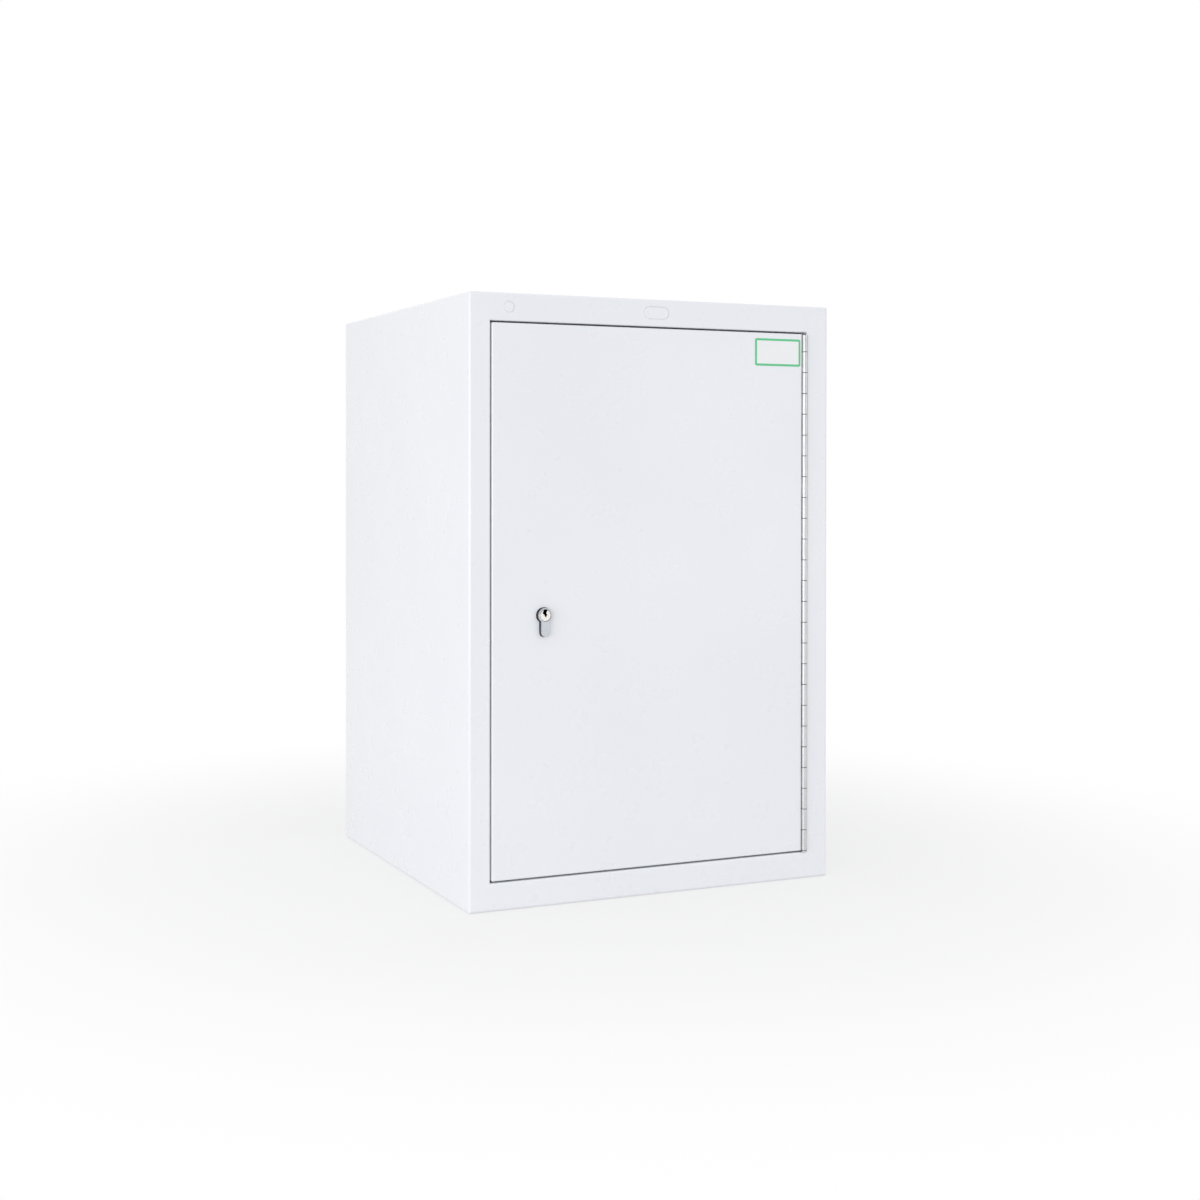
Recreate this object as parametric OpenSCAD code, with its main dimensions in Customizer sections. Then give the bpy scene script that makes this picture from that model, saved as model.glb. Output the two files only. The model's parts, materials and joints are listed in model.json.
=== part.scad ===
// Lockable wall cabinet for medicines: a folded steel body, an inset pan door on a
// continuous hinge, a profile cylinder that drives three bolts, and three loose shelves.
// Origin: middle of the underside. +X is the hinge side, -Y is the front, +Z is up.

/* [Cabinet body] */
// Outside width of the body
cabinet_w = 475; // [440:5:600]
// Depth of the body, from the front face to the wall face
cabinet_d = 450; // [430:5:520]
// Outside height of the body
cabinet_h = 700; // [700:25:900]
// Sheet thickness of the body and the door
sheet_t = 1.5; // [1.2:0.1:1.6]
// Outside radius of the folds of the body
fold_r = 3; // [2.5:0.1:3.5]

/* [Front frame] */
// Height of the frame above and below the door opening
rail_h = 32; // [30:1:36]
// Width of the frame on the lock side
stile_lock_w = 26; // [25:0.5:30]
// Width of the frame on the hinge side
stile_hinge_w = 29.5; // [28:0.5:33]
// Depth of the frame's inward return
return_depth = 32; // [32:0.5:33]
// Reach of the door stops into the opening
stop_reach = 12; // [11:0.5:13]

/* [Door] */
// Gap round the door, other than at the hinge
door_gap = 2; // [1.6:0.1:2.5]
// Thickness of the door pan
door_t = 30; // [29.5:0.5:30]
// Width of the lip folded in behind the door
door_lip = 10; // [9:0.5:11]
// Outside radius of the folds of the door and of the opening
door_fold_r = 1.8; // [1.7:0.1:2.2]

/* [Hinge] */
// Outside diameter of the hinge knuckles
barrel_d = 6.8; // [6.6:0.1:7.2]
// Diameter of the hinge pin
pin_d = 3.7; // [3.4:0.1:3.8]
// Thickness of the hinge leaves
leaf_t = 1.4; // [1.2:0.1:1.4]
// Distance from one knuckle joint to the next
knuckle_pitch = 25.4; // [20:0.2:30]
// Length of the top knuckle, where the strip was cut
first_knuckle = 20.6; // [12:0.2:24]

/* [Lock] */
// Distance of the key axis from the lock side of the body
lock_x = 92; // [90:0.5:100]
// Height of the key axis
lock_z = 333.5; // [320:0.5:345]
// How far the cylinder stands out of the door
lock_proud = 5.3; // [4.5:0.1:8]
// Teeth of the gear on the cylinder
cam_teeth = 10; // [9:1:10]
// Teeth of the drive gear
drive_teeth = 36; // [34:1:36]
// Teeth of the pinion that moves the bolts
pinion_teeth = 14; // [12:2:14]

/* [Shelves] */
// Strip slots that hold the shelves, counted from the bottom
shelf_slots = [5, 12, 19];
// Height of the folded shelf edges
shelf_edge_h = 20; // [16:1:24]
// Depth of a shelf
shelf_d = 340; // [320:5:345]

/* [Wall fixings] */
// Distance between the left and right wall fixing holes
fixing_w = 350; // [300:10:360]
// Distance between the lower and upper wall fixing holes
fixing_h = 560; // [400:10:580]
// Diameter of the wall fixing holes
fixing_d = 10; // [8:1:12]

/* [Hidden] */
$fn = 48;
white_paint = [0.93, 0.94, 0.96];
zinc = [0.78, 0.80, 0.82];
nickel = [0.80, 0.78, 0.74];
brass = [0.80, 0.66, 0.36];
black_nylon = [0.12, 0.12, 0.13];
rubber = [0.20, 0.20, 0.21];

// Body and opening
left = -cabinet_w / 2;
right = cabinet_w / 2;
front = -cabinet_d / 2;
back = cabinet_d / 2;
skin_back = front + sheet_t;
wall_l = left + sheet_t;
open_l = left + stile_lock_w;
open_r = right - stile_hinge_w;
open_b = rail_h;
open_t = cabinet_h - rail_h;
return_back = front + return_depth;
back_edge = 18;
back_fold_r = 2;
plate_half = 25;
plate_t = 3;

// Knock-outs in the top rail
knockout_z = cabinet_h - rail_h / 2;
knock_round_x = left + 49;
knock_round_r = 6.5;
knock_slot_r = 7.25;
knock_slot_half = 9.25;
knock_groove = 0.25;

// Door
door_l = open_l + door_gap;
door_r = open_r - barrel_d;
door_b = open_b + door_gap;
door_top = open_t - door_gap;
door_back = front + door_t;
inner_fold_r = 0.4;
stiffener_xs = [-40, 110];
stiffener_d = 16;
stiffener_t = 1.2;
label_l = door_r - 67;
label_t = 0.25;
label_w = 64;
label_h = 33;
label_b = door_top - 7 - label_h;

// Hinge: the axis lies just in front of the door's face
axis_x = door_r + barrel_d / 2;
axis_lead = 0.3;
axis_y = front - axis_lead;
knuckle_gap = 0.3;
hinge_drop = 1.2;
hinge_t = door_top - hinge_drop;
hinge_b = door_b - hinge_drop;
leaf_front = axis_y + barrel_d / 2 + knuckle_gap;
leaf_back = front + 25;
knuckles = 1 + ceil((hinge_t - hinge_b - first_knuckle) / knuckle_pitch);
pin_play = 0.05;
rivet_r = 1.6;
rivet_hole_r = 1.65;
rivet_y = front + 14;
rivet_count = 9;
rivet_margin = 40;
rivet_shift = 14;
rivet_pitch = (door_top - door_b - 2 * rivet_margin) / (rivet_count - 1);

// Profile cylinder: the fixing screw and the cam are 30 mm behind its face
key_x = left + lock_x;
key_z = lock_z;
cyl_front = front - lock_proud;
cyl_mid = cyl_front + 30;
cyl_end = cyl_mid + 10;
cam_front = cyl_mid - 5;
cam_back = cyl_mid + 5;
plug_r = 6.75;
journal_r = 4;
play = 0.05;
cutout_play = 0.5;
web_top = -8.6;
screw_drop = 19.5;
chamber_r = 1.5;
tumbler_r = 1.4;
tumbler_ys = [for (i = [0 : 4]) cyl_front + 6 + 3.8 * i];

// Gears and bars
gear_module = 1.25;
pressure = 30;
tooth_out = 0.9 * gear_module;
tooth_in = 1.25 * gear_module;
tooth_pitch = PI * gear_module;
backlash = 0.2;
cam_r = cam_teeth * gear_module / 2;
drive_r = drive_teeth * gear_module / 2;
pinion_r = pinion_teeth * gear_module / 2;
gear_z = key_z + cam_r + drive_r;
// One turn of the key moves the bars 2 * PI * pinion_r * cam_teeth / drive_teeth
gear_front = cam_front + 5.5;
gear_t = 4;
bar_t = 4;
rod_front = gear_front - 6;
bolt_front = rod_front - 5;
pinion_front = bolt_front - 0.5;
bar_w = 9;
bolt_w = 14;
axle_r = 3;
hub_r = 4.6;
upper_x = key_x + pinion_r + tooth_in;
lower_x = key_x - pinion_r - tooth_in - bar_w;
bolt_z = gear_z + pinion_r + tooth_in;
bar_inset = 0.5;
rack_tail = 24;
slot_play = 0.6;
frame_slot_play = 1;

// Lock case
case_half_w = 31.5;
case_l = key_x - case_half_w;
case_r = key_x + case_half_w;
case_b = key_z - 37.5;
case_t = gear_z + 37.5;
case_front = bolt_front - 2.5;
plate_front = case_front - 1.5;
cover_t = 1.2;
case_back = cyl_end + 1.3 + cover_t;
case_screw_in = 5.5;
case_screw_r = 2;

// Bar guides
guide_zs = [560, 130];
guide_side = 9;
guide_half_h = 10;
guide_back = rod_front + bar_t + 3;

// Shelves and strips
strip_crown = 20;
strip_flange = 6;
strip_deep = 4.5;
strip_t = 1.2;
strip_b = 27;
slot_pitch = 25;
slot_count = floor((cabinet_h - 50) / slot_pitch) - 1;
strip_ys = [front + 115, back - 75];
strip_face = wall_l + strip_deep;
clip_t = 1.6;
clip_half_w = 5.5;
clip_reach = 15;
shelf_front = front + 75;
shelf_t = 1.2;
shelf_lip = 12;
shelf_half_w = -strip_face - 2;
shelf_fold = 1.8;
corner_slit = 0.4;

// ---------------------------------------------------------------- helpers

// A flat shape drawn in X and Z, made solid from y0 back to y1
module along_y(y0, y1) {
    translate([0, y1, 0]) rotate([90, 0, 0]) linear_extrude(y1 - y0) children();
}

// A flat shape drawn in Y and Z, made solid from x0 to x1
module along_x(x0, x1) {
    translate([x0, 0, 0]) rotate([90, 0, 90]) linear_extrude(x1 - x0) children();
}

// A flat shape drawn in X and Y, made solid from z0 up to z1
module along_z(z0, z1) {
    translate([0, 0, z0]) linear_extrude(z1 - z0) children();
}

module box(low, high) {
    translate(low) cube(high - low);
}

module bar_x(x0, x1, y, z, r) {
    along_x(x0, x1) translate([y, z]) circle(r);
}

module bar_y(y0, y1, x, z, r) {
    along_y(y0, y1) translate([x, z]) circle(r);
}

// Rectangle with its four corners rounded
module round_rect(low, high, r) {
    size = high - low;
    difference() {
        translate(low) square(size);
        for (mx = [0, 1], my = [0, 1])
            translate([mx ? high[0] : low[0], my ? high[1] : low[1]])
                mirror([mx, 0]) mirror([0, my])
                    difference() {
                        translate([-1, -1]) square(r + 1);
                        translate([r, r]) circle(r);
                    }
    }
}

// Box of folded sheet: rounded along its depth and round its front, or its back, or both
module folded_block(low, high, r, front_round = true, back_round = false) {
    far = 4 * r;
    y0 = low[1] - (front_round ? 0 : far);
    y1 = high[1] + (back_round ? 0 : far);
    intersection() {
        along_y(low[1], high[1]) round_rect([low[0], low[2]], [high[0], high[2]], r);
        along_z(low[2], high[2]) round_rect([low[0], y0], [high[0], y1], r);
        along_x(low[0], high[0]) round_rect([y0, low[2]], [y1, high[2]], r);
    }
}

// Channel with two flanges that stand on y = 0
module hat_section(crown, flange, depth, t) {
    a = crown / 2;
    b = a + flange;
    polygon([
        [-b, 0], [-b, t], [-a, t], [-a, depth], [a, depth], [a, t], [b, t], [b, 0],
        [a - t, 0], [a - t, depth - t], [t - a, depth - t], [t - a, 0]
    ]);
}

// Pan-head screw along Z, with its head on z = 0 and a cross recess
module screw(r, length, head_r, head_h) {
    difference() {
        union() {
            translate([0, 0, -length]) cylinder(h = length, r = r);
            cylinder(h = head_h, r1 = head_r, r2 = head_r * 0.8);
        }
        for (turn = [0, 90]) rotate([0, 0, turn])
            translate([-head_r * 0.55, -head_r * 0.14, head_h * 0.45])
                cube([head_r * 1.1, head_r * 0.28, head_h]);
    }
}

module screw_back(x, y, z, r, length, head_r, head_h) {
    translate([x, y, z]) rotate([-90, 0, 0]) screw(r, length, head_r, head_h);
}

// Rivet along Z: its head is on z = 0 and it grips what is below
module rivet(grip) {
    cylinder(h = 1, r1 = 2.9, r2 = 2);
    translate([0, 0, -grip]) cylinder(h = grip, r = rivet_r);
    translate([0, 0, -grip - 0.9]) cylinder(h = 0.9, r = 2.3);
}

// Outline of a profile cylinder about its key axis
module profile_outline(play = 0) {
    circle(8.5 + play);
    translate([-5 - play, -19.5]) square([10 + 2 * play, 19.5]);
    translate([0, -19.5]) circle(5 + play);
}

module at_key() {
    translate([key_x, key_z]) children();
}

// Involute gear outline. A tooth points along +X at phase 0.
function involute(a) = tan(a) * 180 / PI - a;

function half_tooth(r, pitch_r) =
    let (base_r = pitch_r * cos(pressure))
    (tooth_pitch - backlash) / 4 / pitch_r * 180 / PI
        + involute(pressure) - involute(acos(min(1, base_r / r)));

function flank_radii(pitch_r) =
    let (base_r = pitch_r * cos(pressure), root = pitch_r - tooth_in,
         tip = pitch_r + tooth_out, start = max(root, base_r))
    concat(root < base_r ? [root] : [], [for (i = [0 : 4]) start + (tip - start) * i / 4]);

module gear_outline(teeth, phase = 0) {
    pitch_r = teeth * gear_module / 2;
    radii = flank_radii(pitch_r);
    last = len(radii) - 1;
    polygon([
        for (t = [0 : teeth - 1], side = [-1, 1], i = [0 : last])
            let (r = side < 0 ? radii[i] : radii[last - i],
                 a = phase + t * 360 / teeth + side * half_tooth(r, pitch_r))
            [r * cos(a), r * sin(a)]
    ]);
}

// Bar along Y from y0 to y1 with a rack towards -X. The pitch line is x = 0, and a gap is
// centred on y = 0 at phase 0.
module rack_bar(y0, y1, w, first, last, phase = 0) {
    half = (tooth_pitch - backlash) / 4;
    tip_half = half - tooth_out * tan(pressure);
    root_half = half + tooth_in * tan(pressure);
    tooth = [
        [tooth_in, -root_half], [-tooth_out, -tip_half],
        [-tooth_out, tip_half], [tooth_in, root_half]
    ];
    polygon([
        [tooth_in, y0],
        for (i = [first : last], p = tooth) p + [0, (i + 0.5 + phase) * tooth_pitch],
        [tooth_in, y1], [tooth_in + w, y1], [tooth_in + w, y0]
    ]);
}

// ---------------------------------------------------------------- cabinet body

// Slot with rounded front edges, y being the depth
module flared_slot(low, high) {
    r = door_fold_r;
    translate([low, front - 1]) square([high - low, return_depth + 2]);
    difference() {
        translate([low - r, front - 1]) square([high - low + 2 * r, r + 1]);
        for (x = [low - r, high + r]) translate([x, front + r]) circle(r);
    }
}

module door_opening() {
    intersection() {
        along_z(-1, cabinet_h + 1) flared_slot(open_l, open_r);
        along_x(left - 1, right + 1) rotate([0, 0, 90]) mirror([0, 1])
            flared_slot(open_b, open_t);
    }
}

// Slots for the three bolts in the frame return and its keepers
module frame_slots() {
    g = frame_slot_play;
    box([upper_x - g, rod_front - g, open_t - 1],
        [upper_x + bar_w + g, rod_front + bar_t + g, open_t + 6]);
    box([lower_x - g, rod_front - g, open_b - 6],
        [lower_x + bar_w + g, rod_front + bar_t + g, open_b + 1]);
    box([open_l - 6, bolt_front - g, bolt_z - g],
        [open_l + 1, bolt_front + bar_t + g, bolt_z + bolt_w + g]);
}

module knockout_slot_shape(r) {
    translate([-knock_slot_half, knockout_z - r]) square([2 * knock_slot_half, 2 * r]);
    for (x = [-knock_slot_half, knock_slot_half])
        translate([x, knockout_z]) circle(r);
}

function rivet_z(i) = door_b + rivet_margin + i * rivet_pitch;

module cabinet_wrap() {
    color(white_paint)
    difference() {
        union() {
            difference() {
                folded_block([left, front, 0], [right, back, cabinet_h], fold_r);
                folded_block([wall_l, skin_back, sheet_t],
                    [-wall_l, back + 1, cabinet_h - sheet_t], fold_r - sheet_t);
            }
            box([open_l - sheet_t, front + sheet_t / 2, open_b - sheet_t],
                [open_r + sheet_t, return_back, open_t + sheet_t]);
        }
        door_opening();
        frame_slots();
        for (i = [0 : rivet_count - 1])
            bar_x(open_r - 1, open_r + sheet_t + 1, rivet_y, rivet_z(i), rivet_hole_r);
        bar_y(front - 1, skin_back + 1, knock_round_x, knockout_z, knock_round_r);
        bar_y(front - 1, front + knock_groove, knock_round_x, knockout_z,
            knock_round_r + knock_groove);
        along_y(front - 1, skin_back + 1) knockout_slot_shape(knock_slot_r);
        along_y(front - 1, front + knock_groove)
            knockout_slot_shape(knock_slot_r + knock_groove);
    }
}

module round_knockout() {
    color(white_paint)
    bar_y(front, skin_back, knock_round_x, knockout_z, knock_round_r - play);
}

module slot_knockout() {
    color(white_paint)
    along_y(front, skin_back) knockout_slot_shape(knock_slot_r - play);
}

module wall_fixings() {
    for (x = [-1, 1], z = [-1, 1])
        translate([x * fixing_w / 2, 0, cabinet_h / 2 + z * fixing_h / 2]) children();
}

module back_panel() {
    color(white_paint)
    difference() {
        folded_block([wall_l, back - back_edge, sheet_t],
            [-wall_l, back, cabinet_h - sheet_t], back_fold_r, false, true);
        folded_block([wall_l + sheet_t, back - back_edge - 1, 2 * sheet_t],
            [-wall_l - sheet_t, back - sheet_t, cabinet_h - 2 * sheet_t],
            back_fold_r - sheet_t, false, true);
        wall_fixings() bar_y(back - 10, back + 1, 0, 0, fixing_d / 2);
    }
}

module wall_fixing_plates() {
    inner = back - sheet_t;
    color(white_paint)
    wall_fixings() difference() {
        along_y(inner - plate_t, inner)
            round_rect([-plate_half, -plate_half], [plate_half, plate_half], 4);
        bar_y(inner - plate_t - 1, inner + 1, 0, 0, fixing_d / 2);
    }
}

// Angle strip along +X that hooks over the back edge of a frame return above z = 0
module stop_angle(length) {
    along_x(0, length) polygon([
        [return_back, -stop_reach], [return_back + sheet_t, -stop_reach],
        [return_back + sheet_t, 2 * sheet_t], [return_back - 5.5, 2 * sheet_t],
        [return_back - 5.5, sheet_t], [return_back, sheet_t]
    ]);
}

module door_stop_top() {
    color(white_paint)
    translate([open_l + stop_reach, 0, open_t])
        stop_angle(open_r - open_l - stop_reach);
}

module door_stop_bottom() {
    color(white_paint)
    translate([open_l + stop_reach, 0, open_b]) mirror([0, 0, 1])
        stop_angle(open_r - open_l - stop_reach);
}

module door_stop_latch() {
    color(white_paint)
    translate([open_l, 0, open_b]) rotate([0, -90, 0]) stop_angle(open_t - open_b);
}

module door_buffers() {
    along = [open_l + stop_reach + 20, open_r - 30];
    places = [
        for (z = [open_b + 60, open_t - 60]) [open_l + 7, z],
        for (x = along, z = [open_b + 7, open_t - 7]) [x, z]
    ];
    color(rubber)
    for (p = places) bar_y(door_back, return_back, p[0], p[1], 4);
}

module top_bolt_keeper() {
    seat = open_t + sheet_t;
    color(zinc)
    difference() {
        box([upper_x - 14, rod_front - 9, seat],
            [upper_x + bar_w + 14, rod_front + bar_t + 3, seat + plate_t]);
        frame_slots();
    }
}

module bottom_bolt_keeper() {
    seat = open_b - sheet_t;
    color(zinc)
    difference() {
        box([lower_x - 14, rod_front - 9, seat - plate_t],
            [lower_x + bar_w + 14, rod_front + bar_t + 3, seat]);
        frame_slots();
    }
}

module side_bolt_keeper() {
    seat = open_l - sheet_t;
    color(zinc)
    difference() {
        box([seat - plate_t, bolt_front - 7, bolt_z - 14],
            [seat, bolt_front + bar_t + 8, bolt_z + bolt_w + 14]);
        frame_slots();
    }
}

// ---------------------------------------------------------------- shelves

function slot_z(i) = strip_b + i * slot_pitch - 4;

// Slotted strip on the left wall
module shelf_strip(y) {
    color(zinc)
    difference() {
        translate([wall_l, y, 0]) rotate([0, 0, -90])
            along_z(strip_b, strip_b + slot_pitch * (slot_count + 1))
                hat_section(strip_crown, strip_flange, strip_deep, strip_t);
        for (i = [1 : slot_count])
            box([strip_face - 2, y - 6, slot_z(i) - 2], [strip_face + 1, y + 6, slot_z(i) + 2]);
    }
}

module shelf_strip_front_left() shelf_strip(strip_ys[0]);
module shelf_strip_rear_left() shelf_strip(strip_ys[1]);
module shelf_strip_front_right() mirror([1, 0, 0]) shelf_strip(strip_ys[0]);
module shelf_strip_rear_right() mirror([1, 0, 0]) shelf_strip(strip_ys[1]);

// Clip in a slot of a strip: a hook behind the strip, a seat for the shelf and a leg
module shelf_clip(y, z) {
    seat = z - 2 + clip_t;
    hook = strip_face - strip_t - 0.1;
    along_y(y - clip_half_w, y + clip_half_w) polygon([
        [hook - clip_t, z - 2], [strip_face, z - 2], [strip_face, z - 16],
        [strip_face + clip_t, z - 16], [strip_face + clip_t, z - 2],
        [strip_face + clip_reach, z - 2], [strip_face + clip_reach, seat],
        [hook, seat], [hook, z + 6], [hook - clip_t, z + 6]
    ]);
}

module shelf_clips(slot) {
    color(zinc)
    for (y = strip_ys, side = [0, 1])
        mirror([side, 0, 0]) shelf_clip(y, slot_z(slot));
}

module shelf_clips_low() shelf_clips(shelf_slots[0]);
module shelf_clips_middle() shelf_clips(shelf_slots[1]);
module shelf_clips_high() shelf_clips(shelf_slots[2]);

// A shelf is a flat panel whose four edges fold down and back in, open at each corner
function shelf_low_corner(slot) = [-shelf_half_w, shelf_front, slot_z(slot) - 2 + clip_t];
function shelf_high_corner(slot) =
    shelf_low_corner(slot) + [2 * shelf_half_w, shelf_d, shelf_edge_h];

module shelf_panel(slot, above = 0) {
    fold = [shelf_fold, shelf_fold, 0];
    top = shelf_high_corner(slot) - fold;
    box([-top[0], shelf_front + shelf_fold, top[2] - shelf_t], top + [0, 0, above]);
}

module shelf_edges(slot) {
    low = shelf_low_corner(slot);
    high = shelf_high_corner(slot);
    skin = [shelf_t, shelf_t, shelf_t];
    lip = [shelf_lip, shelf_lip, -1];
    color(white_paint)
    difference() {
        folded_block(low, high, shelf_fold, true, true);
        box(low + skin, high - skin);
        box(low + lip, [high[0], high[1], low[2] + 2 * shelf_t] - lip);
        shelf_panel(slot, 1);
        for (x = [low[0], high[0]], y = [low[1], high[1]])
            translate([x, y, low[2] - 1])
                rotate([0, 0, (x < 0) == (y < 0) ? 45 : -45])
                    translate([-2 * shelf_lip, -corner_slit / 2, 0])
                        cube([4 * shelf_lip, corner_slit, shelf_edge_h + 2]);
    }
}

module shelf_low() color(white_paint) shelf_panel(shelf_slots[0]);
module shelf_middle() color(white_paint) shelf_panel(shelf_slots[1]);
module shelf_high() color(white_paint) shelf_panel(shelf_slots[2]);
module shelf_edges_low() shelf_edges(shelf_slots[0]);
module shelf_edges_middle() shelf_edges(shelf_slots[1]);
module shelf_edges_high() shelf_edges(shelf_slots[2]);

// ---------------------------------------------------------------- hinge

// Top and bottom of knuckle i, counted from the top
function knuckle_top(i) = i == 0 ? hinge_t
    : hinge_t - first_knuckle - (i - 1) * knuckle_pitch - knuckle_gap / 2;
function knuckle_bottom(i) =
    max(hinge_b, hinge_t - first_knuckle - i * knuckle_pitch + knuckle_gap / 2);

// Leaf on the frame side with every second knuckle, the first one of which is number start
module hinge_leaf(start) {
    r = barrel_d / 2;
    difference() {
        union() {
            box([axis_x + r - leaf_t, leaf_front, hinge_b], [axis_x + r, leaf_back, hinge_t]);
            for (i = [start : 2 : knuckles - 1]) {
                z0 = knuckle_bottom(i);
                z1 = knuckle_top(i);
                translate([axis_x, axis_y, z0]) cylinder(h = z1 - z0, r = r);
                box([axis_x + r - leaf_t, axis_y, z0], [axis_x + r, leaf_front + 1, z1]);
            }
        }
        translate([axis_x, axis_y, hinge_b - 1])
            cylinder(h = hinge_t - hinge_b + 2, r = pin_d / 2 + pin_play);
        children();
    }
}

module hinge_leaf_frame() {
    color(zinc)
    hinge_leaf(0)
        for (i = [0 : rivet_count - 1])
            bar_x(axis_x, open_r + 1, rivet_y, rivet_z(i), rivet_hole_r);
}

module hinge_leaf_door() {
    color(zinc)
    translate([axis_x, 0, 0]) mirror([1, 0, 0]) translate([-axis_x, 0, 0])
        hinge_leaf(1)
            for (i = [0 : rivet_count - 1])
                bar_x(axis_x, open_r + 1, rivet_y, rivet_z(i) + rivet_shift, rivet_hole_r);
}

module hinge_pin() {
    color(zinc)
    translate([axis_x, axis_y, hinge_b]) cylinder(h = hinge_t - hinge_b, r = pin_d / 2);
}

module frame_hinge_rivets() {
    color(zinc)
    for (i = [0 : rivet_count - 1])
        translate([open_r - leaf_t, rivet_y, rivet_z(i)])
            rotate([0, -90, 0]) rivet(leaf_t + sheet_t);
}

module door_hinge_rivets() {
    color(zinc)
    for (i = [0 : rivet_count - 1])
        translate([door_r + leaf_t, rivet_y, rivet_z(i) + rivet_shift])
            rotate([0, 90, 0]) rivet(leaf_t + sheet_t);
}

// ---------------------------------------------------------------- door

// Cut-out for the cylinder, wider at its head so that it can be lined up with the case
module lock_cutout() {
    profile_outline(cutout_play);
    for (x = [-cutout_play, cutout_play]) translate([x, 0]) circle(8.5 + cutout_play);
    translate([-cutout_play, 0]) square([2 * cutout_play, 8.5 + cutout_play]);
}

module door_skin() {
    low = [door_l, front, door_b];
    high = [door_r, door_back, door_top];
    skin = [sheet_t, sheet_t, sheet_t];
    g = slot_play;
    color(white_paint)
    difference() {
        folded_block(low, high, door_fold_r, true, true);
        folded_block(low + skin, high - skin, inner_fold_r, true, true);
        box(low + [door_lip, door_t - 5, door_lip], high + [-door_lip, 1, -door_lip]);
        along_y(front - 1, skin_back + 1) at_key() lock_cutout();
        box([upper_x - g, rod_front - g, door_top - 3],
            [upper_x + bar_w + g, rod_front + bar_t + g, door_top + 1]);
        box([lower_x - g, rod_front - g, door_b - 1],
            [lower_x + bar_w + g, rod_front + bar_t + g, door_b + 3]);
        box([door_l - 1, bolt_front - g, bolt_z - g],
            [door_l + 3, bolt_front + bar_t + g, bolt_z + bolt_w + g]);
        for (i = [0 : rivet_count - 1])
            bar_x(door_r - sheet_t - 1, door_r + 1, rivet_y, rivet_z(i) + rivet_shift,
                rivet_hole_r);
    }
}

module door_stiffener(x) {
    color(white_paint)
    translate([x, skin_back, 0]) along_z(door_b + 26, door_top - 26)
        hat_section(30, 12, stiffener_d, stiffener_t);
}

module door_stiffener_left() door_stiffener(stiffener_xs[0]);
module door_stiffener_right() door_stiffener(stiffener_xs[1]);

module door_label() {
    color("seagreen")
    along_y(front - label_t, front)
        round_rect([label_l, label_b], [label_l + label_w, label_b + label_h], 2.5);
}

// ---------------------------------------------------------------- lock

module case_corners() {
    for (x = [case_l + case_screw_in, case_r - case_screw_in],
         z = [case_b + case_screw_in, case_t - case_screw_in])
        translate([x, 0, z]) children();
}

module lock_spacers() {
    color(zinc)
    case_corners() difference() {
        bar_y(skin_back, plate_front, 0, 0, 4);
        bar_y(skin_back + 0.5, plate_front + 1, 0, 0, case_screw_r + play);
    }
}

module lock_base_plate() {
    color(zinc)
    difference() {
        along_y(plate_front, case_front) round_rect([case_l, case_b], [case_r, case_t], 3);
        along_y(plate_front - 1, case_front + 1) at_key() profile_outline(0.15);
        bar_y(plate_front - 1, case_front + 1, key_x, gear_z, axle_r + play / 2);
        case_corners() bar_y(plate_front - 1, case_front + 1, 0, 0, case_screw_r + play);
    }
}

module lock_cover() {
    skin = [cover_t, -1, cover_t];
    g = slot_play / 2;
    color(zinc)
    difference() {
        folded_block([case_l, case_front, case_b], [case_r, case_back, case_t], 2, false, true);
        folded_block([case_l, case_front, case_b] + skin,
            [case_r, case_back, case_t] - [cover_t, cover_t, cover_t], 0.8, false, true);
        box([upper_x - g, rod_front - g, case_t - 3],
            [upper_x + bar_w + g, rod_front + bar_t + g, case_t + 1]);
        box([lower_x - g, rod_front - g, case_b - 1],
            [lower_x + bar_w + g, rod_front + bar_t + g, case_b + 3]);
        box([case_l - 1, bolt_front - g, bolt_z - g],
            [case_l + 3, bolt_front + bar_t + g, bolt_z + bolt_w + g]);
        bar_y(case_back - 4, case_back + 1, key_x, gear_z, axle_r + play / 2);
        case_corners() bar_y(case_back - 4, case_back + 1, 0, 0, case_screw_r + play);
        bar_x(case_r - 3, case_r + 1, cyl_mid, key_z - screw_drop, 2.6);
    }
}

module lock_screws() {
    color(zinc)
    case_corners() screw_back(0, case_back, 0, case_screw_r, case_back - skin_back - 2, 3.6, 2.2);
}

module cylinder_body() {
    color(nickel)
    difference() {
        union() {
            along_y(cyl_front, cam_front) at_key() profile_outline();
            along_y(cam_back, cyl_end) at_key() profile_outline();
            along_y(cam_front - 1, cam_back + 1) at_key() intersection() {
                profile_outline();
                translate([-10, web_top - 30]) square([20, 30]);
            }
        }
        bar_y(cyl_front - 1, cam_front + 1, key_x, key_z, plug_r + play);
        bar_y(cam_back - 1, cyl_end - 1.5, key_x, key_z, journal_r + play);
        bar_x(key_x - 6, key_x + 6, cyl_mid, key_z - screw_drop, 2.5);
        for (y = tumbler_ys)
            translate([key_x, y, key_z - 23.5]) cylinder(h = 18, r = chamber_r);
    }
}

// Keyway: a crooked slot, open at the top of the plug and pointed at its foot
module keyway() {
    polygon([
        [-1.1, 7], [2, 7], [2.4, 4.8], [1.2, 3.4], [1, 2.2], [2.2, 1.2], [1.9, 0.2],
        [1.2, -0.9], [0.5, -2.6], [-0.2, -1.2], [-0.9, 0.2], [-2.6, 1.6], [-3.5, 3],
        [-2.6, 4.6], [-2.3, 5.8]
    ]);
}

module cylinder_plug() {
    face = cyl_front + 0.25;
    color(nickel)
    difference() {
        union() {
            bar_y(face, cam_front, key_x, key_z, plug_r);
            bar_y(cam_front, cyl_end - 2, key_x, key_z, journal_r);
        }
        along_y(face - 1, cam_front - 3) at_key() keyway();
        for (y = tumbler_ys)
            translate([key_x, y, key_z - plug_r - 1])
                cylinder(h = plug_r - 1, r = chamber_r);
    }
}

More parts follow.
